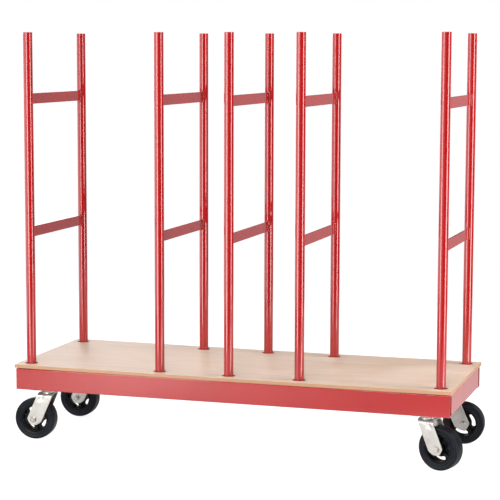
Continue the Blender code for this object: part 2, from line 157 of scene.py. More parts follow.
def layFloor(scene):
    v = studioValues
    lowX, highX, across = v["floorX"]
    lowY, highY, deep = v["floorY"]
    spots = [
        (lowX + (highX - lowX) * k / across, lowY + (highY - lowY) * row / deep, 0)
        for row in range(deep + 1) for k in range(across + 1)
    ]
    wide = across + 1
    corners = [row * wide + k for row in range(deep) for k in range(across)]
    sheet = bpy.data.meshes.new("studio_floor")
    sheet.from_pydata(spots, [], [(c, c + 1, c + wide + 1, c + wide) for c in corners])
    glow = sheet.attributes.new("glow", "FLOAT", "POINT")
    for index, (x, y, z) in enumerate(spots):
        glow.data[index].value = floorGlow(x, y)
    paper, tree, shader = startFinish("floor_paper")
    glowHere = addNode(tree, "Attribute", attribute_name="glow").outputs["Fac"]
    seenHere = addNode(tree, "LightPath").outputs["Is Camera Ray"]
    choice = addNode(tree, "Mix", {0: seenHere, 2: glowHere, 3: v["floorSeen"]}, data_type="FLOAT")
    feed(tree, shader, {
        "Base Color": v["floorColour"], "Roughness": 0.9, "Specular IOR Level": 0.1,
        "Emission Color": (1, 1, 1, 1), "Emission Strength": choice.outputs[0],
    })
    sheet.materials.append(paper)
    floor = bpy.data.objects.new("studio_floor", sheet)
    scene.collection.objects.link(floor)


def hangSoftboxes(scene):
    v = studioValues
    for name, (place, aim, width, height, watts) in v["softboxes"].items():
        lamp = bpy.data.lights.new(name, "AREA")
        lamp.shape = "RECTANGLE"
        lamp.size, lamp.size_y = width, height
        lamp.energy, lamp.color = watts, v["lampColour"]
        box = bpy.data.objects.new(name, lamp)
        box.location = place
        box.rotation_euler = (Vector(aim) - Vector(place)).to_track_quat("-Z", "Y").to_euler()
        box.visible_camera = False
        scene.collection.objects.link(box)


def makeStudio():
    scene = bpy.context.scene
    scene.view_settings.view_transform = "Standard"
    scene.view_settings.look = "None"
    scene.cycles.use_denoising = True
    lightRoom(scene)
    layFloor(scene)
    hangSoftboxes(scene)


# keeps one softbox off some pieces, whose flat faces would mirror it whole from behind
def shadeFrom(softbox, names):
    shaded = bpy.data.collections.new("out_of_" + softbox)
    for name in names:
        shaded.objects.link(bpy.data.objects[name])
    for member in shaded.collection_objects:
        member.light_linking.link_state = "EXCLUDE"
    bpy.data.objects[softbox].light_linking.receiver_collection = shaded


# node helpers

def startFinish(name):
    material = bpy.data.materials.new(name)
    material.use_nodes = True
    return material, material.node_tree, material.node_tree.nodes["Principled BSDF"]


def feed(tree, node, feeds):
    for key, value in feeds.items():
        if isinstance(value, bpy.types.NodeSocket):
            tree.links.new(value, node.inputs[key])
        else:
            node.inputs[key].default_value = value


def addNode(tree, kind, feeds=None, **settings):
    made = tree.nodes.new("ShaderNode" + kind)
    for key, value in settings.items():
        setattr(made, key, value)
    feed(tree, made, feeds or {})
    return made


def noiseOf(tree, spot, scale, detail=3.0, roughness=0.55, distortion=0.0):
    return addNode(tree, "TexNoise", {
        "Vector": spot, "Scale": scale, "Detail": detail, "Roughness": roughness, "Distortion": distortion,
    }).outputs[0]


def stretched(tree, spot, scale, turn=(0, 0, 0)):
    return addNode(tree, "Mapping", {"Vector": spot, "Scale": scale, "Rotation": turn}).outputs[0]


# black up to one level, then rising to a grey at another
def rampOf(tree, value, start, full, most=1.0):
    ramp = addNode(tree, "ValToRGB", {"Fac": value})
    for mark, place, grey in zip(ramp.color_ramp.elements, (start, full), (0.0, most)):
        mark.position = place
        mark.color = (grey, grey, grey, 1)
    return ramp.outputs[0]


def mixOf(tree, share, *sides):
    first, second = (side if isinstance(side, bpy.types.NodeSocket) else (*side, 1) for side in sides)
    return addNode(tree, "Mix", {0: share, 6: first, 7: second}, data_type="RGBA").outputs[2]


def remap(tree, value, low, high, toLow, toHigh):
    feeds = {"Value": value, "From Min": low, "From Max": high, "To Min": toLow, "To Max": toHigh}
    return addNode(tree, "MapRange", feeds).outputs[0]


def mathOf(tree, action, first, second=0.0):
    return addNode(tree, "Math", {0: first, 1: second}, operation=action).outputs[0]


def bumpOf(tree, height, strength, distance, normal=None):
    feeds = {"Height": height, "Strength": strength, "Distance": distance}
    if normal is not None:
        feeds["Normal"] = normal
    return addNode(tree, "Bump", feeds).outputs[0]


# finishes
# a noise is scale, detail, roughness, distortion; a ramp is start, full, share; a bump is strength, depth

paintValues = {
    "deep": (0.368, 0.0088, 0.0096),
    "bright": (0.408, 0.0106, 0.0115),
    "thinCoatAndHighlight": (0.48, 0.035, 0.036),  # over edges: the coat worn thin, and a painted highlight line along them
    "chip": (0.10, 0.045, 0.040),
    "cloud": (4.0, 4.0, 0.6),
    "cloudRamp": (0.32, 0.68),
    "rub": (60.0, 5.0, 0.65),
    "rubRamp": (0.42, 0.62, 0.55),
    "flake": (145.0, 3.0, 0.7),
    "flakeStretch": (1.0, 1.0, 0.45),
    "flakeRamp": (0.715, 0.735),
    "chipLine": 1.36,  # chips gather above this height
    "chipFade": 0.11,
    "chipDull": 0.35,
    "chipBump": (0.5, 0.0004),
    "sheen": (14.0, 4.0, 0.6),
    "roughness": (0.055, 0.105),
    "wave": (9.0, 1.0),
    "waveBump": (0.25, 0.0012),
    "peel": (750.0, 2.0),
    "peelBump": (0.06, 0.0004),
}


def makePaint():
    v = paintValues
    paint, tree, shader = startFinish("red_enamel")
    spot = addNode(tree, "TexCoord").outputs["Object"]
    cloud = rampOf(tree, noiseOf(tree, spot, *v["cloud"]), *v["cloudRamp"])
    # edge mark: a lighter red along bevels, partly worn-thin coat and partly a painted highlight line
    edge = addNode(tree, "Attribute", attribute_name="edgeWearAndHighlight").outputs["Fac"]
    rub = rampOf(tree, noiseOf(tree, spot, *v["rub"]), *v["rubRamp"])
    coat = mixOf(tree, cloud, v["deep"], v["bright"])
    coat = mixOf(tree, mathOf(tree, "MULTIPLY", edge, rub), coat, v["thinCoatAndHighlight"])
    # a few chips near the tube tops, where loads knock them
    height = addNode(tree, "SeparateXYZ", {0: spot}).outputs["Z"]
    high = remap(tree, height, v["chipLine"], v["chipLine"] + v["chipFade"], 0.0, 1.0)
    flake = noiseOf(tree, stretched(tree, spot, v["flakeStretch"]), *v["flake"])
    chip = mathOf(tree, "MULTIPLY", high, rampOf(tree, flake, *v["flakeRamp"]))
    gloss = remap(tree, noiseOf(tree, spot, *v["sheen"]), 0.35, 0.7, *v["roughness"])
    wave = bumpOf(tree, noiseOf(tree, spot, *v["wave"]), *v["waveBump"])
    peel = bumpOf(tree, noiseOf(tree, spot, *v["peel"]), *v["peelBump"], wave)
    feed(tree, shader, {
        "Base Color": mixOf(tree, chip, coat, v["chip"]), "IOR": 1.5, "Specular IOR Level": 1.0,
        "Roughness": mathOf(tree, "ADD", gloss, mathOf(tree, "MULTIPLY", chip, v["chipDull"])),
        "Normal": bumpOf(tree, mathOf(tree, "MULTIPLY", chip, -1.0), *v["chipBump"], peel),
    })
    return paint


plywoodValues = {
    "pale": (0.79, 0.650, 0.545),
    "warm": (0.72, 0.557, 0.437),
    "streak": (0.57, 0.394, 0.280),
    "edgeLight": (0.54, 0.315, 0.180),
    "edgeDark": (0.42, 0.225, 0.120),
    "glueLine": (0.25, 0.13, 0.06),
    "plyCount": 7,
    "glueHalf": 0.045,  # of a ply
    "glueShare": 0.55,
    "roughness": (0.44, 0.60),
    "fibreBump": (0.12, 0.0004),
    # grain along the deck: stretch, slant in degrees, noise, ramp
    "grains": {
        "cloud": ((0.9, 2.6, 1.0), 0.0, (3.2, 4.0, 0.6, 0.4), (0.34, 0.66)),
        "band": ((0.55, 5.5, 1.0), 2.5, (7.0, 3.0, 0.55, 0.5), (0.46, 0.74, 0.36)),
        "fleck": ((1.6, 24.0, 1.0), 2.5, (22.0, 4.0, 0.65), (0.50, 0.72, 0.30)),
        "fibre": ((5.0, 230.0, 230.0), 0.0, (3.0, 4.0, 0.7), (0.50, 0.72, 0.20)),
        "endGrain": ((160.0, 160.0, 420.0), 0.0, (3.0, 3.0, 0.7), (0.4, 0.7, 0.35)),
    },
    "figureStretch": (0.35, 3.2, 1.0),
    "figure": {"Scale": 2.4, "Distortion": 9.0, "Detail": 3.0, "Detail Scale": 1.2, "Detail Roughness": 0.6},
    "figureRamp": (0.55, 0.95, 0.12),
}


def makePlywood():
    v = plywoodValues
    low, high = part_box("deck_board")
    plywood, tree, shader = startFinish("sanded_plywood")
    coords = addNode(tree, "TexCoord")
    spot = coords.outputs["Object"]
    noises, shares = {}, {}
    for grain, (stretch, slant, noise, ramp) in v["grains"].items():
        drawn = stretched(tree, spot, stretch, (0, 0, math.radians(slant)))
        noises[grain] = noiseOf(tree, drawn, *noise)
        shares[grain] = rampOf(tree, noises[grain], *ramp)
    figureFeeds = {"Vector": stretched(tree, spot, v["figureStretch"]), **v["figure"]}
    figure = addNode(tree, "TexWave", figureFeeds, wave_type="BANDS", bands_direction="Y").outputs["Fac"]
    shares["figure"] = rampOf(tree, figure, *v["figureRamp"])
    # face veneer
    face = mixOf(tree, shares["cloud"], v["warm"], v["pale"])
    for grain in ("band", "figure", "fleck", "fibre"):
        face = mixOf(tree, shares[grain], face, v["streak"])
    # stacked plies on the cut edges
    level = addNode(tree, "SeparateXYZ", {0: spot}).outputs["Z"]
    ply = mathOf(tree, "MULTIPLY", mathOf(tree, "SUBTRACT", level, low.z), v["plyCount"] / (high.z - low.z))
    across = mathOf(tree, "LESS_THAN", mathOf(tree, "MODULO", ply, 2.0), 1.0)
    edge = mixOf(tree, across, v["edgeLight"], v["edgeDark"])
    edge = mixOf(tree, shares["endGrain"], edge, v["edgeDark"])
    seam = mathOf(tree, "LESS_THAN", mathOf(tree, "PINGPONG", ply, 0.5), v["glueHalf"])
    edge = mixOf(tree, mathOf(tree, "MULTIPLY", seam, v["glueShare"]), edge, v["glueLine"])
    upright = addNode(tree, "SeparateXYZ", {0: coords.outputs["Normal"]}).outputs["Z"]
    isFace = mathOf(tree, "GREATER_THAN", mathOf(tree, "ABSOLUTE", upright), 0.6)
    feed(tree, shader, {
        "Base Color": mixOf(tree, isFace, edge, face), "Specular IOR Level": 0.5,
        "Roughness": remap(tree, noises["cloud"], 0.3, 0.7, *v["roughness"]),
        "Normal": bumpOf(tree, noises["fibre"], *v["fibreBump"]),
    })
    return plywood


zincValues = {
    "bright": (0.53, 0.517, 0.495),
    "dull": (0.45, 0.437, 0.416),
    "straw": (0.47, 0.420, 0.345),
    "roughness": (0.26, 0.42),
    "patch": (28.0, 5.0, 0.65, 0.6),
    "patchRamp": (0.36, 0.62),
    "stain": (46.0, 4.0, 0.6, 1.2),
    "stainRamp": (0.55, 0.74, 0.75),
    "grain": (420.0, 3.0, 0.6),
    "grainStretch": (1.0, 1.0, 0.12),
    "grainBump": (0.10, 0.0003),
}


def makeZinc():
    v = zincValues
    zinc, tree, shader = startFinish("bright_zinc")
    spot = addNode(tree, "TexCoord").outputs["Object"]
    patch = noiseOf(tree, spot, *v["patch"])
    colour = mixOf(tree, rampOf(tree, patch, *v["patchRamp"]), v["dull"], v["bright"])
    stain = rampOf(tree, noiseOf(tree, spot, *v["stain"]), *v["stainRamp"])
    grain = noiseOf(tree, stretched(tree, spot, v["grainStretch"]), *v["grain"])
    mottle = mathOf(tree, "MULTIPLY", mathOf(tree, "ADD", patch, grain), 0.5)
    feed(tree, shader, {
        "Base Color": mixOf(tree, stain, colour, v["straw"]), "Metallic": 1.0,
        "Roughness": remap(tree, mottle, 0.35, 0.65, *v["roughness"]),
        "Normal": bumpOf(tree, grain, *v["grainBump"]),
    })
    return zinc


ironValues = {
    "colours": ((0.0035, 0.0035, 0.004), (0.009, 0.009, 0.010)),
    "patches": (330.0, 4.0, 0.65),
    "ramp": (0.45, 0.75),
    "skin": (330.0, 4.0, 0.65),
    "bump": (0.35, 0.0005),
    "roughness": (0.25, 0.47),
    "shader": {"Specular IOR Level": 0.16},
}
rubberValues = {
    "colours": ((0.0053, 0.0070, 0.0106), (0.0208, 0.0248, 0.0362)),
    "patches": (30.0, 5.0, 0.65),
    "ramp": (0.48, 0.80, 0.7),
    "skin": (520.0, 3.0, 0.6),
    "bump": (0.14, 0.0003),
    "roughness": (0.34, 0.52),
    "shader": {"Specular IOR Level": 0.15},
}
steelValues = {
    "colours": ((0.62, 0.62, 0.63), (0.34, 0.32, 0.29)),
    "patches": (70.0, 4.0, 0.6),
    "ramp": (0.4, 0.7),
    "skin": (600.0, 3.0, 0.55),
    "bump": (0.05, 0.0002),
    "roughness": (0.20, 0.38),
    "shader": {"Metallic": 1.0},
}


def makeMottled(name, v):
    finish, tree, shader = startFinish(name)
    spot = addNode(tree, "TexCoord").outputs["Object"]
    patches, skin = noiseOf(tree, spot, *v["patches"]), noiseOf(tree, spot, *v["skin"])
    feed(tree, shader, {
        "Base Color": mixOf(tree, rampOf(tree, patches, *v["ramp"]), *v["colours"]),
        "Roughness": remap(tree, patches, 0.3, 0.7, *v["roughness"]),
        "Normal": bumpOf(tree, skin, *v["bump"]),
        **v["shader"],
    })
    return finish


# shape helpers

def arcPoints(centre, radius, start, stop, steps):
    turns = [math.radians(start + (stop - start) * k / steps) for k in range(steps + 1)]
    return [(centre[0] + radius * math.cos(turn), centre[1] + radius * math.sin(turn)) for turn in turns]


def circle(radius, count, centre=(0.0, 0.0)):
    return arcPoints(centre, radius, 0, 360, count)[:-1]


def roundedBox(halfU, halfV, corner, steps=4, centre=(0.0, 0.0)):
    u, v = halfU - corner, halfV - corner
    points = []
    for (signU, signV), start in (((1, 1), 0), ((-1, 1), 90), ((-1, -1), 180), ((1, -1), 270)):
        points += arcPoints((centre[0] + signU * u, centre[1] + signV * v), corner, start, start + 90, steps)
    return points


# moves a loop into the material; outlines run counter-clockwise, holes clockwise
def insetLoop(points, distance):
    count = len(points)
    inset = []
    for k in range(count):
        before, here, after = (Vector(points[(k + shift) % count]) for shift in (-1, 0, 1))
        first, second = (here - before).normalized(), (after - here).normalized()
        leftFirst, leftSecond = Vector((-first.y, first.x)), Vector((-second.y, second.x))
        middle = (leftFirst + leftSecond).normalized()
        inset.append(here + middle * (distance / max(0.35, middle.dot(leftFirst))))
    return inset


# flat stock: an outline with holes, given a thickness and eased edges
def plateShape(outer, holes, low, high, ease, easeSteps=2):
    shape = bmesh.new()
    # marks the middle of each eased edge, where the paint gets wear and a painted highlight line
    edgeMarkLayer = shape.verts.layers.float.new("edgeWearAndHighlight")
    loops = [[Vector(p) for p in outer]] + [[Vector(p) for p in reversed(hole)] for hole in holes]
    levels = []
    for step in range(easeSteps + 1):
        turn = math.pi / 2 * step / easeSteps
        levels.append((ease * (1 - math.cos(turn)), ease * (1 - math.sin(turn)), 0 < step < easeSteps))
    levels = [(low + rise, inset, midEase) for rise, inset, midEase in levels] + [
        (high - rise, inset, midEase) for rise, inset, midEase in reversed(levels)
    ]
    capRows = ([], [])
    for loop in loops:
        rows = []
        for level, inset, midEase in levels:
            row = [shape.verts.new((p.x, p.y, level)) for p in insetLoop(loop, inset)]
            for vert in row:
                vert[edgeMarkLayer] = 1.0 if midEase else 0.0
            rows.append(row)
        for lower, upper in zip(rows, rows[1:]):
            for k in range(len(lower)):
                n = (k + 1) % len(lower)
                shape.faces.new((lower[k], lower[n], upper[n], upper[k]))
        capRows[0].append(rows[0])
        capRows[1].append(rows[-1])
    for capRow in capRows:
        flat = [vert for row in capRow for vert in row]
        for triangle in tessellate_polygon([[vert.co for vert in row] for row in capRow]):
            corners = [flat[k] for k in triangle]
            if shape.faces.get(corners) is None:
                shape.faces.new(corners)
    bmesh.ops.recalc_face_normals(shape, faces=shape.faces)
    return shape


# joins rings of points into a skin, closed at its ends or back on itself
def loftShape(rings, wrap=False):
    shape = bmesh.new()
    rows = [[shape.verts.new(p) for p in ring] for ring in rings]
    pairs = list(zip(rows, rows[1:])) + ([(rows[-1], rows[0])] if wrap else [])
    for here, there in pairs:
        for k in range(len(here)):
            n = (k + 1) % len(here)
            shape.faces.new((here[k], here[n], there[n], there[k]))
    if not wrap:
        shape.faces.new(rows[0])
        shape.faces.new(rows[-1])
    bmesh.ops.remove_doubles(shape, verts=shape.verts, dist=1e-7)
    bmesh.ops.recalc_face_normals(shape, faces=shape.faces)
    return shape


# a closed outline of radius and height, turned about Z
def latheShape(profile, sides):
    rings = []
    for k in range(sides):
        turn = math.tau * k / sides
        x, y = math.cos(turn), math.sin(turn)
        rings.append([(radius * x, radius * y, height) for radius, height in profile])
    return loftShape(rings, wrap=True)


def rodShape(radius, low, high, sides):
    return latheShape([(0.0, low), (radius, low), (radius, high), (0.0, high)], sides)


# half a profile, repeated below zero
def mirrored(upper):
    return upper + [(radius, -height) for radius, height in reversed(upper)]


# part of a profile, from its depths below a face
def below(face, depths):
    return [(radius, face - depth) for radius, depth in depths]


# a hexagon with its corners turned off by a cone, at one end or both
def hexShape(flats, low, high, bothEnds=False, sides=48):
    rim, slope = flats / 2 * 0.96, 1.9
    drop = (flats / 2 / math.cos(math.radians(30)) - rim) / slope
    shares = (0.0, 0.18, 0.4, 0.7, 1.0)
    levels = [low + drop * share for share in shares] if bothEnds else [low]
    levels += [high - drop * share for share in reversed(shares)]
    rings = []
    for level in levels:
        reach = rim + (high - level) * slope
        if bothEnds:
            reach = min(reach, rim + (level - low) * slope)
        ring = []
        for k in range(sides):
            turn = math.tau * k / sides
            side = (turn + math.pi / 6) % (math.pi / 3) - math.pi / 6
            radius = min(flats / 2 / math.cos(side), reach)
            ring.append((radius * math.cos(turn), radius * math.sin(turn), level))
        rings.append(ring)
    return loftShape(rings)


# a round bar end with a chamfer and rolled thread
def threadedEnd(radius, low, high, pitch, sides=28):
    profile = [(0.0, low), (radius, low)]
    level = low
    while level + pitch < high - pitch * 0.8:
        profile += [(radius, level + pitch * 0.35), (radius * 0.93, level + pitch * 0.75)]
        level += pitch
    profile += [(radius * 0.97, high - pitch * 0.7), (radius * 0.86, high), (0.0, high)]
    return latheShape(profile, sides)


def washerShape(inner, outer, low, high, most=0.0004, sides=40):
    ease = min(most, (high - low) / 4)
    profile = [
        (inner, low), (outer - ease, low), (outer, low + ease), (outer, high - ease), (outer - ease, high),
        (inner + ease, high), (inner, high - ease),
    ]
    return latheShape(profile, sides)


def gather(*shapes):
    whole = bmesh.new()
    # carries the edge mark for worn coat and painted highlight
    whole.verts.layers.float.new("edgeWearAndHighlight")
    for shape in shapes:
        mesh = bpy.data.meshes.new("gathered")
        shape.to_mesh(mesh)
        whole.from_mesh(mesh)
        bpy.data.meshes.remove(mesh)
        shape.free()
    return whole


def moved(shape, turn):
    bmesh.ops.transform(shape, matrix=turn, verts=shape.verts)
    return shape


# flat bar on edge, running along Y
def flatBar(thick, tall, corner, front, rear, ease, x, z):
    bar = plateShape(roundedBox(thick / 2, tall / 2, corner, 3), [], front, rear, ease)
    moved(bar, Matrix(((1, 0, 0, x), (0, 0, 1, 0), (0, 1, 0, z), (0, 0, 0, 1))))
    bmesh.ops.recalc_face_normals(bar, faces=bar.faces)
    return bar


# the mesh that an object's modifiers leave
def settledMesh(thing):
    return bpy.data.meshes.new_from_object(thing.evaluated_get(bpy.context.evaluated_depsgraph_get()))


# cuts one shape out of another, or welds two into one skin
def carve(shape, tool, action):
    pair = []
    for item in (shape, tool):
        mesh = bpy.data.meshes.new("carving")
        item.to_mesh(mesh)
        item.free()
        holder = bpy.data.objects.new("carving", mesh)
        bpy.context.scene.collection.objects.link(holder)
        pair.append(holder)
    change = pair[0].modifiers.new("carve", "BOOLEAN")
    change.operation = action
    change.object = pair[1]
    change.solver = "EXACT"
    bpy.context.view_layer.update()
    result = settledMesh(pair[0])
    done = bmesh.new()
    done.from_mesh(result)
    for holder in pair:
        mesh = holder.data
        bpy.data.objects.remove(holder)
        bpy.data.meshes.remove(mesh)
    bpy.data.meshes.remove(result)
    return done


def showPiece(name, shape, finish, body, nodes=(), place=None, sharp=34):
    mesh = bpy.data.meshes.new(name)
    shape.to_mesh(mesh)
    if place is not None:
        mesh.transform(place)
    mesh.materials.append(finish)
    mesh.shade_smooth()
    mesh.set_sharp_from_angle(angle=math.radians(sharp))
    shown = bpy.data.objects.new(name, mesh)
    bpy.context.scene.collection.objects.link(shown)
    # broad faces keep their own direction, so reflections run straight along them
    shown.modifiers.new("broad_faces", "WEIGHTED_NORMAL").keep_sharp = True
    settled = settledMesh(shown)
    shown.modifiers.clear()
    shown.data = settled
    bpy.data.meshes.remove(mesh)
    settled.name = name
    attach(shown, body)
    if nodes:
        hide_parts(*nodes)


# weld beads

weldValues = {
    "ripple": 0.0024,  # length of one ripple
    "rippleDepth": 0.13,
    "swellDepth": 0.08,
    "swellRate": 310.0,
    "tipShare": 0.45,  # girth at an open end
    "tipLength": 1.3,
    "ringSides": 8,
    "step": 0.0008,
}


def beadShape(path, reference, radius, seed, closed=False):
    v = weldValues
    path = [Vector(p) for p in path]
    ends = path + [path[0]] if closed else path
    spans = [(b - a).length for a, b in zip(ends, ends[1:])]
    total = sum(spans)
    count = max(6, int(total / v["step"]))
    dice = random.Random(seed)
    drift, swell = dice.uniform(0, 6), dice.uniform(0, 6)
    places = []
    for k in range(count if closed else count + 1):
        along, index = total * k / count, 0
        while index < len(spans) - 1 and along > spans[index]:
            along -= spans[index]
            index += 1
        places.append(ends[index].lerp(ends[index + 1], min(1.0, along / max(spans[index], 1e-9))))
    rings = []
    size = len(places)
    for k, here in enumerate(places):
        ahead = places[(k + 1) % size] if closed or k < size - 1 else here
        behind = places[k - 1] if closed or k > 0 else here
        along = (ahead - behind).normalized()
        side = along.cross(Vector(reference)).normalized()
        up = side.cross(along)
        travel = total * k / count
        wave = math.sin(math.tau * travel / v["ripple"] + drift)
        swelling = v["swellDepth"] * math.sin(travel * v["swellRate"] + swell)
        girth = radius * (1 + v["rippleDepth"] * wave + swelling)
        if not closed:
            taper = min(1.0, min(travel, total - travel) / (radius * v["tipLength"]))
            girth *= v["tipShare"] + (1 - v["tipShare"]) * taper
        rings.append([here + side * u + up * w for u, w in circle(girth, v["ringSides"])])
    return loftShape(rings, wrap=closed)


def showWelds(name, beads, paint, body):
    showPiece(name, gather(*beads), paint, body, sharp=60)


# deck

deckValues = {
    "edgeEase": 0.0009,
    "cornerRadius": 0.0025,
    "holeRadius": 0.0230,
    "holeSides": 48,
    "sag": 0.0021,  # the board rests on the rails in the middle and lifts at its ends
    "sagSteps": 24,
    "cutShift": 0.0013,  # keeps the cuts off the holes' own points
}
frameNumbers = (1, 2, 3, 4, 5)


def tubeCentre(number, side):
    low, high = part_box(f"frame_{number}_tube_{side}")
    return (low + high) / 2


def makeDeck(plywood):
    v = deckValues
    low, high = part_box("deck_board")
    holes = [
        circle(v["holeRadius"], v["holeSides"], tubeCentre(number, side)[:2])
        for number in frameNumbers for side in ("front", "rear")
    ]
    outline = roundedBox(high.x, high.y, v["cornerRadius"], 5)
    board = plateShape(outline, holes, low.z, high.z, v["edgeEase"], 3)
    for step in range(1, v["sagSteps"]):
        cut = low.x + (high.x - low.x) * step / v["sagSteps"] + v["cutShift"]
        parts = board.verts[:] + board.edges[:] + board.faces[:]
        bmesh.ops.bisect_plane(board, geom=parts, dist=1e-6, plane_co=(cut, 0, 0), plane_no=(1, 0, 0))
    for vert in board.verts:
        vert.co.z -= v["sag"] * (1 - (vert.co.x / high.x) ** 2)
    showPiece("deck_plywood", board, plywood, "cart_base", ["deck_board"])
    print("deck made with", len(holes), "tube holes")


# rails of formed channel

railValues = {
    "wall": 0.0048,
    "insideBend": 0.0035,
    "outsideBend": 0.0025,
    "bendSteps": 8,
    "lipRound": 0.0009,
    "endEase": 0.0006,
    # corner welds: girth, from the rail's ends, foot and top
    "weldRadius": 0.00208,
    "weldInset": 0.002,
    "weldUp": 0.0012,
    "weldDown": 0.0030,
    "weldSeed": 40,
}


# web at zero, flanges towards +u, counter-clockwise
def channelLoop(depth, height):
    v = railValues
    wall, steps, lip = v["wall"], v["bendSteps"], v["lipRound"]
    inside, outside = v["insideBend"], v["outsideBend"]
    seat = wall + inside
    return [
        *arcPoints((outside, outside), outside, 180, 270, steps),
        *arcPoints((depth - lip, lip), lip, 270, 360, 2),
        *arcPoints((depth - lip, wall - lip), lip, 0, 90, 2),
        *arcPoints((seat, seat), inside, 270, 180, steps),
        *arcPoints((seat, height - seat), inside, 180, 90, steps),
        *arcPoints((depth - lip, height - wall + lip), lip, 270, 360, 2),
        *arcPoints((depth - lip, height - lip), lip, 0, 90, 2),
        *arcPoints((outside, height - outside), outside, 90, 180, steps),
    ]


def makeRails(paint):
    v = railValues
    # outline axes and length axis of each rail, as columns
    facing = {
        "side_rail_front": ((0, 1, 0), (0, 0, 1), (1, 0, 0)),
        "side_rail_rear": ((0, -1, 0), (0, 0, 1), (1, 0, 0)),
        "end_rail_left": ((1, 0, 0), (0, 0, 1), (0, 1, 0)),
        "end_rail_right": ((-1, 0, 0), (0, 0, 1), (0, 1, 0)),
    }
    for node, (inward, up, along) in facing.items():
        low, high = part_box(node)
        inwards = Vector(inward)
        size = high - low
        depth = abs(size.dot(inwards))
        length = size.dot(Vector(along))
        outerFace = low if sum(inward) > 0 else high
        start = (low + high) / 2
        start += inwards * ((outerFace - start).dot(inwards))
        start.z = low.z
        turn = Matrix((inward, up, along)).transposed().to_4x4()
        rail = plateShape(channelLoop(depth, size.z), [], -length / 2, length / 2, v["endEase"])
        moved(rail, Matrix.Translation(start) @ turn)
        bmesh.ops.recalc_face_normals(rail, faces=rail.faces)
        showPiece(node + "_channel", rail, paint, "cart_base", [node], sharp=28)

    # corner welds, where the end rails meet the side rails' flange tips
    seed, inset = v["weldSeed"], v["weldInset"]
    for side in ("left", "right"):
        low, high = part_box("end_rail_" + side)
        beads = []
        for edgeY in (low.y, high.y):
            for level in (low.z + v["weldUp"], high.z - v["weldDown"]):
                seed += 1
                path = [(low.x + inset, edgeY, level), (high.x - inset, edgeY, level)]
                beads.append(beadShape(path, (0, 0, 1), v["weldRadius"], seed))
        showWelds(f"end_rail_{side}_welds", beads, paint, "cart_base")
    print("rails made with corner welds")


# upright frames

uprightValues = {
    "tubeRadius": 0.0167,
    "tubeWall": 0.0034,
    "tubeSides": 56,
    "rimRound": 0.0008,
    "barThick": 0.005,
    "barRound": 0.0009,
    "barEase": 0.0002,
    "weldRadius": 0.0029,
    "weldCorner": 0.002,
    "weldSink": (0.45, 0.25),  # share of the girth that stands past the bar
}


def makeUprights(paint):
    v = uprightValues
    radius, wall, thick, girth = v["tubeRadius"], v["tubeWall"], v["barThick"], v["weldRadius"]
    for number in frameNumbers:
        body = f"upright_frame_{number}"
        centres = {side: tubeCentre(number, side) for side in ("front", "rear")}
        for side, centre in centres.items():
            node = f"frame_{number}_tube_{side}"
            low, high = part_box(node)
            wallMiddle = (radius - wall / 2, centre.z)
            section = roundedBox(wall / 2, (high.z - low.z) / 2, v["rimRound"], 3, wallMiddle)
            pipe = latheShape(section, v["tubeSides"])
            showPiece(node + "_pipe", pipe, paint, body, [node], Matrix.Translation((centre.x, centre.y, 0)))
        for level in ("lower", "upper"):
            node = f"frame_{number}_rung_{level}"
            low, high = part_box(node)
            middle, tall = (low + high) / 2, high.z - low.z
            reach = centres["rear"].y - math.sqrt(radius ** 2 - (thick / 2) ** 2)
            bar = flatBar(thick, tall, v["barRound"], -reach, reach, v["barEase"], middle.x, middle.z)
            showPiece(node + "_bar", bar, paint, body, [node])
            # one bead runs round each end of the bar, on the tube
            sinkU, sinkW = v["weldSink"]
            ring = roundedBox(thick / 2 + girth * sinkU, tall / 2 + girth * sinkW, v["weldCorner"], 3)
            beads = []
            for side, toward in (("front", 1), ("rear", -1)):
                path = [
                    (middle.x + u, centres[side].y + toward * math.sqrt(radius ** 2 - u ** 2), middle.z + w)
                    for u, w in ring
                ]
                seed = number * 10 + len(beads) + (level == "upper") * 5
                beads.append(beadShape(path, (0, 1, 0), girth, seed, closed=True))
            showWelds(f"frame_{number}_{level}_welds", beads, paint, body)
    print("upright frames made:", len(frameNumbers))


# cross bars with their socket cups

socketValues = {
    "bore": 0.0175,
    "outer": 0.0211,
    "floor": 0.006,
    "floorCorner": 0.0012,
    "drain": 0.005,
    "drainLip": 0.0008,
    "rimRound": 0.0009,
    "barFace": 0.0201,  # from the cup's middle to the bar
    "barThick": 0.0064,
    "barHigh": 0.0508,
    "barRound": 0.0009,
    "barEase": 0.0006,
    "sides": 56,
    # beads between cup and bar: girth, either side of the middle, into the bar, from foot and top
    "seamRadius": 0.0024,
    "seamSwing": 0.0086,
    "seamSink": 0.0008,
    "seamEnds": (0.002, 0.0015),
    # beads at the bar's tips, on the side rails
    "tipRadius": 0.0022,
    "tipSink": 0.0006,
    "tipProud": 0.0004,
    "tipLevels": (-0.0058, 0.0006),
}


def cupProfile(low, top):
    v = socketValues
    outer, bore, drain, ease = v["outer"], v["bore"], v["drain"], v["rimRound"]
    floor, corner, lip = low + v["floor"], v["floorCorner"], v["drainLip"]
    return [
        (drain, low), (outer - ease, low), (outer, low + ease), (outer, top - ease), (outer - ease, top),
        (bore + ease, top), (bore, top - ease), (bore, floor + corner), (bore - corner, floor),
        (drain + lip, floor), (drain, floor - lip),
    ]


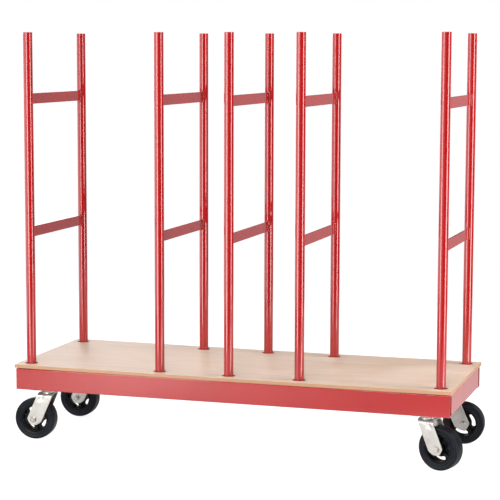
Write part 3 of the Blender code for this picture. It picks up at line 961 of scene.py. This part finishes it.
def makeSocketBars(paint):
    v = socketValues
    thick, tall = v["barThick"], v["barHigh"]
    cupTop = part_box("side_rail_front")[1].z
    for number in frameNumbers:
        node = f"socket_cross_bar_{number}"
        low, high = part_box(node)
        centre = tubeCentre(number, "front")
        side = 1 if high.x - centre.x > centre.x - low.x else -1
        barX = centre.x + side * (v["barFace"] + thick / 2)
        bar = flatBar(thick, tall, v["barRound"], low.y, high.y, v["barEase"], barX, high.z - tall / 2)
        showPiece(node + "_flat_bar", bar, paint, "cart_base", [node])
        seamFoot, seamTop = high.z - tall + v["seamEnds"][0], cupTop - v["seamEnds"][1]
        beads = []
        for end in ("front", "rear"):
            spot = tubeCentre(number, end)
            cup = latheShape(cupProfile(low.z, cupTop), v["sides"])
            place = Matrix.Translation((spot.x, spot.y, 0))
            showPiece(f"{node}_cup_{end}", cup, paint, "cart_base", [node], place)
            seam = spot.x + side * (v["barFace"] - v["seamSink"])
            for y in (spot.y - v["seamSwing"], spot.y + v["seamSwing"]):
                path = [(seam, y, seamFoot), (seam, y, seamTop)]
                beads.append(beadShape(path, (0, 1, 0), v["seamRadius"], number * 20 + len(beads)))
            tip = math.copysign(high.y - v["tipSink"], spot.y)
            for face in (-1, 1):
                tipX = barX + face * (thick / 2 + v["tipProud"])
                path = [(tipX, tip, cupTop + level) for level in v["tipLevels"]]
                beads.append(beadShape(path, (0, 1, 0), v["tipRadius"], number * 30 + len(beads)))
        showWelds(node + "_welds", beads, paint, "cart_base")
    print("socket bars made:", len(frameNumbers))


# plates that carry the casters

mountValues = {
    "headHole": 0.0180,
    "boltHole": 0.0055,
    "boltU": 0.03335,
    "boltV": 0.04605,
    "ease": 0.0007,
    # edge welds: girth, from the plate's ends, from its middle, below its top
    "weldRadius": 0.0026,
    "weldInset": 0.006,
    "weldGap": 0.016,
    "weldDown": 0.0010,
    "weldSeed": 300,
}


def casterSpots():
    spots = {}
    for corner in cornerNames:
        king = Vector(joints[corner + "_swivel_turn"]["pos_m"])
        wheel = Vector(joints[corner + "_wheel_spin"]["pos_m"])
        heading = math.atan2(wheel.y - king.y, wheel.x - king.x)
        fixed = Matrix.Translation((king.x, king.y, 0))
        swivel = fixed @ Matrix.Rotation(heading, 4, "Z")
        axle = Matrix.Translation(wheel) @ Matrix.Rotation(heading, 4, "Z")
        spots[corner] = (fixed, swivel, axle)
    return spots


def boltPlaces():
    v = mountValues
    return [(u * v["boltU"], w * v["boltV"]) for u in (-1, 1) for w in (-1, 1)]


def makeMountPlates(paint, spots):
    v = mountValues
    for side in ("left", "right"):
        node = "caster_mount_plate_" + side
        low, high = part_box(node)
        middle = (low.x + high.x) / 2
        outer = [(low.x, low.y), (high.x, low.y), (high.x, high.y), (low.x, high.y)]
        holes = []
        for corner in cornerNames:
            if corner.endswith(side):
                king = spots[corner][0].translation
                holes.append(circle(v["headHole"], 40, (king.x, king.y)))
                holes += [circle(v["boltHole"], 24, (king.x + u, king.y + w)) for u, w in boltPlaces()]
        plate = plateShape(outer, holes, low.z, high.z, v["ease"])
        showPiece(node + "_steel", plate, paint, "cart_base", [node])
        inset, gap, level = v["weldInset"], v["weldGap"], high.z - v["weldDown"]
        beads = []
        for edgeY in (low.y, high.y):
            for start, stop in ((low.x + inset, middle - gap), (middle + gap, high.x - inset)):
                path = [(start, edgeY, level), (stop, edgeY, level)]
                beads.append(beadShape(path, (0, 0, 1), v["weldRadius"], v["weldSeed"] + len(beads)))
        showWelds(node + "_welds", beads, paint, "cart_base")
    print("caster mount plates made")


# casters: plate, swivel and fixings

swivelValues = {
    "plateHalf": (0.0508, 0.05715),
    "plateCorner": 0.008,
    "plateLow": 0.1887,
    "plateHigh": 0.1951,
    "plateEase": 0.0008,
    "crownTop": 0.1757,
    "upperRace": 0.0340,
    "lowerRace": 0.0270,
    "raceSplit": 0.1822,
    "raceSunk": 0.0034,  # into the fork's crown
    "raceRound": 0.0026,
    "capRise": 0.0027,  # above the split, at the middle of the cap's round
    "capFlare": (0.0006, 0.0018),  # outwards, where the cap meets the plate
    "capFlareDrop": 0.0012,
    "dishDrop": 0.0034,  # below the split, outside the balls
    "dishEase": 0.0004,
    "grooveDrops": (0.0010, 0.0012),  # middles of the upper and lower grooves below the split
    "grooveShelf": 0.0010,
    "splitGap": 0.0001,
    "raceSides": 64,
    "ballRing": 0.0247,
    "ballRadius": 0.0026,
    "ballPlay": 0.0003,
    "ballDrop": 0.0011,  # below the split
    "ballCount": 24,
    "kingRadius": 0.0080,
    "kingPlay": 0.0003,
    "kingFlats": 0.0240,
    "kingNut": (0.1614, 0.1704),
    "kingHead": (0.1954, 0.2044),
    "boltRadius": 0.0048,
    "boltFlats": 0.0145,
    "boltHead": (0.0098, 0.0016),
    "boltRise": 0.0109,
    "boltPitch": 0.0009,
    "washer": (0.0100, 0.0016),
    "nutHigh": 0.0074,
    "mountTop": 0.2018,
    "overlap": 0.0002,
}


def raceShapes():
    v = swivelValues
    low, split, crown, lap = v["plateLow"], v["raceSplit"], v["crownTop"], v["overlap"]
    ring, outer, inner, corner = v["ballRing"], v["upperRace"], v["lowerRace"], v["raceRound"]
    bore, groove = v["kingRadius"] + v["kingPlay"], v["ballRadius"] + v["ballPlay"]
    upperDrop, lowerDrop = v["grooveDrops"]
    # pressed cap under the plate, with a groove for the balls
    flare, flareTop = v["capFlare"]
    upper = latheShape([
        (bore, low + lap), (bore, split + v["splitGap"]),
        *arcPoints((ring, split - upperDrop), groove, 25, 155, 8)[::-1],
        *arcPoints((outer - corner, split + v["capRise"]), corner, 270, 360, 5),
        (outer + flare, low - v["capFlareDrop"]), (outer + flareTop, low + lap),
    ], v["raceSides"])
    # dished ring on the fork, a little lower outside the balls
    foot, ease = crown - v["raceSunk"], v["dishEase"]
    lower = latheShape([
        (bore, foot), (inner + ease, foot), (inner, crown + ease), (inner, split - v["dishDrop"]),
        *arcPoints((ring, split - lowerDrop), groove, 200, 340, 8)[::-1],
        (ring - v["ballRadius"] - v["grooveShelf"], split - lap), (bore, split - lap),
    ], v["raceSides"])
    return upper, lower


def ballRowShape():
    v = swivelValues
    balls = []
    for x, y in circle(v["ballRing"], v["ballCount"]):
        ball = bmesh.new()
        bmesh.ops.create_uvsphere(ball, u_segments=14, v_segments=9, radius=v["ballRadius"])
        balls.append(moved(ball, Matrix.Translation((x, y, v["raceSplit"] - v["ballDrop"]))))
    return gather(*balls)


def kingShape():
    v = swivelValues
    nutLow, nutHigh = v["kingNut"]
    headLow, headHigh = v["kingHead"]
    return gather(
        hexShape(v["kingFlats"], nutLow, nutHigh, True),
        hexShape(v["kingFlats"], headLow, headHigh),
        rodShape(v["kingRadius"], nutHigh - v["overlap"], headLow + v["overlap"], 32),
    )


def fixingsShape():
    v = swivelValues
    low, top, radius, lap = v["plateLow"], v["mountTop"], v["boltRadius"], v["overlap"] * 2
    reach, thick = v["boltHead"]
    washer, washerThick = v["washer"]
    nutLow = top + washerThick
    nutTop = nutLow + v["nutHigh"]
    fixings = []
    for u, w in boltPlaces():
        head = latheShape([
            (0.0, low), (reach, low), (reach, low - thick * 0.35), (reach * 0.93, low - thick * 0.75),
            (reach * 0.7, low - thick * 0.95), (0.0, low - thick),
        ], 36)
        pieces = (
            head,
            washerShape(radius, washer, top, nutLow),
            hexShape(v["boltFlats"], nutLow, nutTop, True),
            threadedEnd(radius, nutTop - lap, top + v["boltRise"], v["boltPitch"]),
            rodShape(radius, low - lap, top + lap, 24),
        )
        fixings += [moved(piece, Matrix.Translation((u, w, 0))) for piece in pieces]
    return gather(*fixings)


def makeSwivels(zinc, steel, spots):
    v = swivelValues
    holes = [circle(mountValues["boltHole"], 24, spot) for spot in boltPlaces()]
    holes.append(circle(v["kingRadius"] + v["kingPlay"], 32))
    outline = roundedBox(*v["plateHalf"], v["plateCorner"], 7)
    plate = plateShape(outline, holes, v["plateLow"], v["plateHigh"], v["plateEase"], 3)
    upper, lower = raceShapes()
    ballRow, king, bolts = ballRowShape(), kingShape(), fixingsShape()
    for corner, (fixed, swivel, axle) in spots.items():
        name, turning = "caster_" + corner, corner + "_swivel"
        showPiece(name + "_plate", plate, zinc, "cart_base", [name + "_top_plate"], fixed)
        showPiece(name + "_upper_race", upper, zinc, "cart_base", [name + "_top_plate"], fixed)
        showPiece(name + "_lower_race", lower, zinc, turning, [name + "_fork"], swivel)
        showPiece(name + "_race_balls", ballRow, steel, turning, (), swivel)
        showPiece(name + "_king_pin", king, zinc, "cart_base", [name + "_king_bolt"], fixed)
        showPiece(name + "_fixing_bolts", bolts, zinc, "cart_base", (), fixed)
    print("swivels made with", v["ballCount"], "balls each")


# casters: fork bent from plate

acrossWheel = Matrix.Rotation(math.pi / 2, 4, "X")  # from upright to the axle's line
forkValues = {
    "trail": 0.050,
    "axleHeight": 0.0762,
    "wall": 0.005,
    "outsideBend": 0.016,
    "crownTop": 0.1757,
    "crownEnds": (-0.027, 0.031),
    "legEnds": (0.016, 0.076),  # level with the axle
    "frontCorner": 0.0662,
    "rearCorner": 0.0782,
    "toe": 0.0555,
    "toeHalf": 0.012,
    "toeRound": 0.0035,
    "cornerRound": 0.0035,
    "legInside": 0.0285,
    "edgeRound": 0.0011,
    "columns": 16,
    "bendSteps": 10,
    # heights of the stations up a leg, from the toe
    "toeLevels": (0.0, 0.0003, 0.0008, 0.0016, 0.0026, 0.0035),
    "cornerLevels": (0.0055, 0.0022, 14),  # from, step, count
    "legStart": 0.005,  # past the corner's last level
    "legStep": 0.003,
    "legStop": (0.004, 0.002),  # below the bend: room kept, last station
    "toeShrink": 0.0006,
    "kingHole": 0.0083,
    "axleHole": 0.00665,
    "dimpleDepth": 0.0018,  # pressed gusset in each shoulder
    "dimpleAt": 0.009,
    "dimpleWide": 0.0085,
    "dimpleFade": 0.022,  # down the leg
}


def forkEnds(level):
    v = forkValues
    span = v["crownTop"] - v["axleHeight"]
    ends = []
    for side, (corner, sign) in enumerate(((v["frontCorner"], -1), (v["rearCorner"], 1))):
        crown, leg = v["crownEnds"][side], v["legEnds"][side]
        edge = crown + (leg - crown) * (v["crownTop"] - level) / span
        start = crown + (leg - crown) * (v["crownTop"] - corner) / span
        cut = start + (v["trail"] + sign * v["toeHalf"] - start) * (corner - level) / (corner - v["toe"])
        # whichever lies further in, with the corner between them rounded
        gap = math.hypot(edge - cut, v["cornerRound"])
        end = (edge + cut - sign * gap) / 2
        low = level - v["toe"]
        if low < v["toeRound"]:
            end -= sign * (v["toeRound"] - math.sqrt(v["toeRound"] ** 2 - (v["toeRound"] - low) ** 2))
        ends.append(end)
    return ends


# stations up the right leg, over the crown and down the left leg: place, outward normal, dimple share
def forkStations():
    v = forkValues
    half, toe, steps = v["wall"] / 2, v["toe"], v["bendSteps"]
    legMid, bendMid = v["legInside"] + half, v["outsideBend"] - half
    centreY, centreZ = legMid - bendMid, v["crownTop"] - v["outsideBend"]
    first, step, count = v["cornerLevels"]
    room, last = v["legStop"]
    rise = [toe + level for level in v["toeLevels"]] + [toe + first + step * k for k in range(count)]
    level = rise[-1] + v["legStart"]
    while level < centreZ - room:
        rise.append(level)
        level += v["legStep"]
    right = []
    for z in rise + [centreZ - last]:
        fade = min(1.0, (centreZ - z) / v["dimpleFade"])
        right.append(((legMid, z), (1.0, 0.0), 0.5 + 0.5 * math.cos(math.pi * fade)))
    for k in range(steps + 1):
        turn = math.pi / 2 * k / steps
        away = (math.cos(turn), math.sin(turn))
        right.append(((centreY + bendMid * away[0], centreZ + bendMid * away[1]), away, 1 - 0.65 * k / steps))
    for share in (0.85, 0.6, 0.3, 0.0):
        dip = max(0.0, 0.35 - (1 - share) * 1.4)
        right.append(((centreY * share, v["crownTop"] - half), (0.0, 1.0), dip))
    return right + [((-y, z), (-ny, nz), dip) for (y, z), (ny, nz), dip in reversed(right[:-1])]


def forkShape():
    v = forkValues
    half, ease, columns = v["wall"] / 2, v["edgeRound"], v["columns"]
    stations = forkStations()
    rings = []
    for index, ((y, z), (ny, nz), dip) in enumerate(stations):
        front, rear = forkEnds(z)
        shrink = v["toeShrink"] if index in (0, len(stations) - 1) else 0.0
        low, high, thick = front + shrink + ease, rear - shrink - ease, half - shrink
        run = [low + (high - low) * k / columns for k in range(columns + 1)]
        ring = [
            *[(x, thick) for x in run],
            *arcPoints((high, thick - ease), ease, 60, 0, 2),
            *arcPoints((high, ease - thick), ease, 0, -60, 2),
            *[(x, -thick) for x in reversed(run)],
            *arcPoints((low, ease - thick), ease, 240, 180, 2),
            *arcPoints((low, thick - ease), ease, 180, 120, 2),
        ]
        middle = (front + rear) / 2 + v["dimpleAt"]
        points = []
        for x, lift in ring:
            out = lift - v["dimpleDepth"] * dip * math.exp(-((x - middle) / v["dimpleWide"]) ** 2)
            points.append((x, y + ny * out, z + nz * out))
        rings.append(points)
    fork = carve(loftShape(rings), rodShape(v["kingHole"], 0.15, 0.20, 32), "DIFFERENCE")
    axleHole = rodShape(v["axleHole"], -0.06, 0.06, 32)
    moved(axleHole, Matrix.Translation((v["trail"], 0, v["axleHeight"])) @ acrossWheel)
    return carve(fork, axleHole, "DIFFERENCE")


def makeForks(zinc, spots):
    fork = forkShape()
    for corner, (fixed, swivel, axle) in spots.items():
        name = f"caster_{corner}_fork"
        showPiece(name + "_plate", fork, zinc, corner + "_swivel", [name], swivel, sharp=40)
    print("forks made")


# casters: axle, bearing, core and tyre

wheelValues = {
    "windowTurn": {"front_left": 79, "front_right": 28, "rear_left": 75, "rear_right": 18},
    "axleRadius": 0.00635,
    "axleFlats": 0.0190,
    "legOutside": 0.0338,
    "washer": (0.0112, 0.0014),
    "headHigh": 0.0080,
    "nutHigh": 0.0110,
    # locking collar on the nut: radius, depth below its top
    "collar": (
        (0.0, 0.0034), (0.0086, 0.0034), (0.0086, 0.0010), (0.0078, 0.0002), (0.0069, 0.0002),
        (0.0067, 0.0012), (0.0, 0.0012),
    ),
    "collarHigh": 0.0030,
    "tipRadius": 0.0061,
    "tipHigh": 0.0016,
    "tipPitch": 0.0007,
    "shankLap": 0.002,
    "hubHalf": 0.0282,
    "bearingPlay": 0.0003,
    "bearingRadius": 0.01465,
    "bearingEase": 0.0006,
    "bearingGroove": ((0.0098, 0.0), (0.0103, 0.0009), (0.0118, 0.0009), (0.0123, 0.0)),
    "hubBore": 0.01495,
    "hubRadius": 0.02295,
    "rimRadius": 0.0482,
    "rimInside": 0.0446,
    "rimHalf": 0.0210,
    "webHalf": 0.0050,
    "hubEase": 0.0007,
    "hubLip": (0.0022, 0.0012, 0.0010),  # in from the hub at its face, in from it below, depth
    "hubFillet": 0.0040,
    "rimFillet": 0.0026,
    "rimLip": (0.0004, 0.0012, 0.0008),  # out from the rim below its face, out from it at the face, depth
    "rimEase": 0.0006,
    "ribHalf": 0.0025,
    "ribReach": 0.0150,
    "windowInner": 0.02945,
    "windowOuter": 0.0431,
    "windowSpan": 73.0,
    "windowEase": 0.0012,
    "windowLevels": (0.0040, 0.0052, 0.012),  # where the ease starts, is full, and past the web
    "ribLap": (0.0030, 0.0016),  # into hub and rim
    "ribEase": 0.0014,
    "radius": 0.0762,
    "tyreInside": 0.0485,
    "tyreHalf": 0.0250,
    "tyreShoulder": 0.0085,
    "shoulderIn": (0.0006, 0.0007),  # from the tread and from the side
    "tyreBead": ((0.0, -0.0010), (0.0003, 0.0004)),  # past the inside, past the rim's face
    # the tyre's side, with a raised ring beside the rim and then a groove: radius, depth below the side
    "tyreSide": (
        (0.0497, 0.0026), (0.0515, 0.0018), (0.0530, 0.0014), (0.0545, 0.0003), (0.0560, 0.0),
        (0.0574, 0.0003), (0.0584, 0.0014), (0.0594, 0.0024), (0.0610, 0.0025), (0.0625, 0.0017),
        (0.0642, 0.0010),
    ),
    "tyreTread": ((0.0002, 0.0110), (0.0, 0.0060), (0.0, 0.0)),  # depth below the tread, from the middle
    "sides": 96,
}


def axleShape():
    v = wheelValues
    flats, radius, seat = v["axleFlats"], v["axleRadius"], v["legOutside"]
    washer, washerThick = v["washer"]
    face, nutTop = seat + washerThick, seat + v["nutHigh"]
    nutSide = gather(
        hexShape(flats, face, nutTop - v["collarHigh"]), latheShape(below(nutTop, v["collar"]), 40),
        threadedEnd(v["tipRadius"], nutTop - v["tipHigh"], nutTop, v["tipPitch"]),
        washerShape(radius, washer, seat, face),
    )
    moved(nutSide, Matrix.Rotation(math.pi, 4, "X"))
    axle = gather(
        nutSide, hexShape(flats, face, seat + v["headHigh"]), washerShape(radius, washer, seat, face),
        rodShape(radius, -seat - v["shankLap"], seat + v["shankLap"], 32),
    )
    return moved(axle, acrossWheel)


def bearingShape():
    v = wheelValues
    half, outer, ease = v["hubHalf"], v["bearingRadius"], v["bearingEase"]
    bore = v["axleRadius"] + v["bearingPlay"]
    upper = [
        (bore, half - ease), (bore + ease, half), *below(half, v["bearingGroove"]),
        (outer - ease, half), (outer, half - ease),
    ]
    return moved(latheShape(mirrored(upper), 56), acrossWheel)


def kidneyLoop(outset):
    v = wheelValues
    inner, outer = v["windowInner"] - outset, v["windowOuter"] + outset
    middle, half = (inner + outer) / 2, (outer - inner) / 2
    swing = v["windowSpan"] / 2 - math.degrees(math.asin((v["windowOuter"] - v["windowInner"]) / 2 / middle))
    end = (middle * math.cos(math.radians(swing)), middle * math.sin(math.radians(swing)))
    return [
        *arcPoints((0, 0), outer, -swing, swing, 14)[:-1],
        *arcPoints(end, half, swing, swing + 180, 12)[:-1],
        *arcPoints((0, 0), inner, swing, -swing, 14)[:-1],
        *arcPoints((end[0], -end[1]), half, 180 - swing, 360 - swing, 12)[:-1],
    ]


def coreShape():
    v = wheelValues
    web, hub, rim, rib = v["webHalf"], v["hubRadius"], v["rimInside"], v["ribHalf"]
    bore, hubFace, hubEase, hubFillet = v["hubBore"], v["hubHalf"], v["hubEase"], v["hubFillet"]
    outer, rimFace, rimEase, rimFillet = v["rimRadius"], v["rimHalf"], v["rimEase"], v["rimFillet"]
    hubTop, hubFoot, hubDrop = v["hubLip"]
    rimFoot, rimTop, rimDrop = v["rimLip"]
    upper = [
        (bore, hubFace - hubEase), (bore + hubEase, hubFace),
        (hub - hubTop, hubFace), (hub - hubFoot, hubFace - hubDrop),
        *arcPoints((hub + hubFillet, web + hubFillet), hubFillet, 180, 270, 6),
        *arcPoints((rim - rimFillet, web + rimFillet), rimFillet, 270, 360, 5),
        (rim + rimFoot, rimFace - rimDrop), (rim + rimTop, rimFace),
        (outer - rimEase, rimFace), (outer, rimFace - rimEase),
    ]
    core = latheShape(mirrored(upper), v["sides"])
    ease, (narrow, wide, past) = v["windowEase"], v["windowLevels"]
    levels = ((-past, ease), (-wide, ease), (-narrow, 0.0), (narrow, 0.0), (wide, ease), (past, ease))
    for k in range(3):
        window = loftShape([[(x, y, level) for x, y in kidneyLoop(outset)] for level, outset in levels])
        core = carve(core, moved(window, Matrix.Rotation(math.tau * k / 3, 4, "Z")), "DIFFERENCE")
    start, stop = hub - v["ribLap"][0], rim + v["ribLap"][1]
    outline = [(start, -rib), (stop, -rib), (stop, rib), (start, rib)]
    for k in range(3):
        bar = plateShape(outline, [], -v["ribReach"], v["ribReach"], v["ribEase"], 3)
        core = carve(core, moved(bar, Matrix.Rotation(math.tau * (k + 0.5) / 3, 4, "Z")), "UNION")
    return moved(core, acrossWheel)


def tyreShape():
    v = wheelValues
    inside, half, tread, shoulder = v["tyreInside"], v["tyreHalf"], v["radius"], v["tyreShoulder"]
    inward, down = v["shoulderIn"]
    upper = [
        *[(inside + out, v["rimHalf"] + past) for out, past in v["tyreBead"]],
        *below(half, v["tyreSide"]),
        *arcPoints((tread - shoulder - inward, half - shoulder - down), shoulder, 90, 12, 9),
        *[(tread - depth, height) for depth, height in v["tyreTread"]],
    ]
    profile = upper + [(radius, -height) for radius, height in reversed(upper[:-1])]
    return moved(latheShape(profile, v["sides"]), acrossWheel)


def makeWheels(zinc, steel, iron, rubber, spots):
    v = wheelValues
    axle, bearing, core, tyre = axleShape(), bearingShape(), coreShape(), tyreShape()
    for corner, (fixed, swivel, spot) in spots.items():
        name, rolling = "caster_" + corner, corner + "_wheel"
        turned = spot @ Matrix.Rotation(-math.radians(v["windowTurn"][corner]), 4, "Y")
        showPiece(name + "_axle", axle, zinc, corner + "_swivel", [name + "_axle_bolt"], spot)
        showPiece(name + "_bearing_sleeve", bearing, steel, rolling, [name + "_bearing"], spot)
        showPiece(name + "_cast_core", core, iron, rolling, [name + "_core"], turned)
        showPiece(name + "_rubber_tyre", tyre, rubber, rolling, [name + "_tyre"], spot)
    print("wheels made")


makeCamera()
makeStudio()
print("camera, floor and light set")

redPaint = makePaint()
sandedPlywood = makePlywood()
brightZinc = makeZinc()
blackCasting = makeMottled("black_casting", ironValues)
tyreRubber = makeMottled("tyre_rubber", rubberValues)
oiledSteel = makeMottled("oiled_steel", steelValues)
print("finishes mixed")

casters = casterSpots()
makeDeck(sandedPlywood)
makeRails(redPaint)
makeUprights(redPaint)
makeSocketBars(redPaint)
makeMountPlates(redPaint, casters)
makeSwivels(brightZinc, oiledSteel, casters)
makeForks(brightZinc, casters)
makeWheels(brightZinc, oiledSteel, blackCasting, tyreRubber, casters)

rungBars = [f"frame_{number}_rung_{level}_bar" for number in frameNumbers for level in ("lower", "upper")]
shadeFrom("left_softbox", ["end_rail_left_channel", *rungBars])
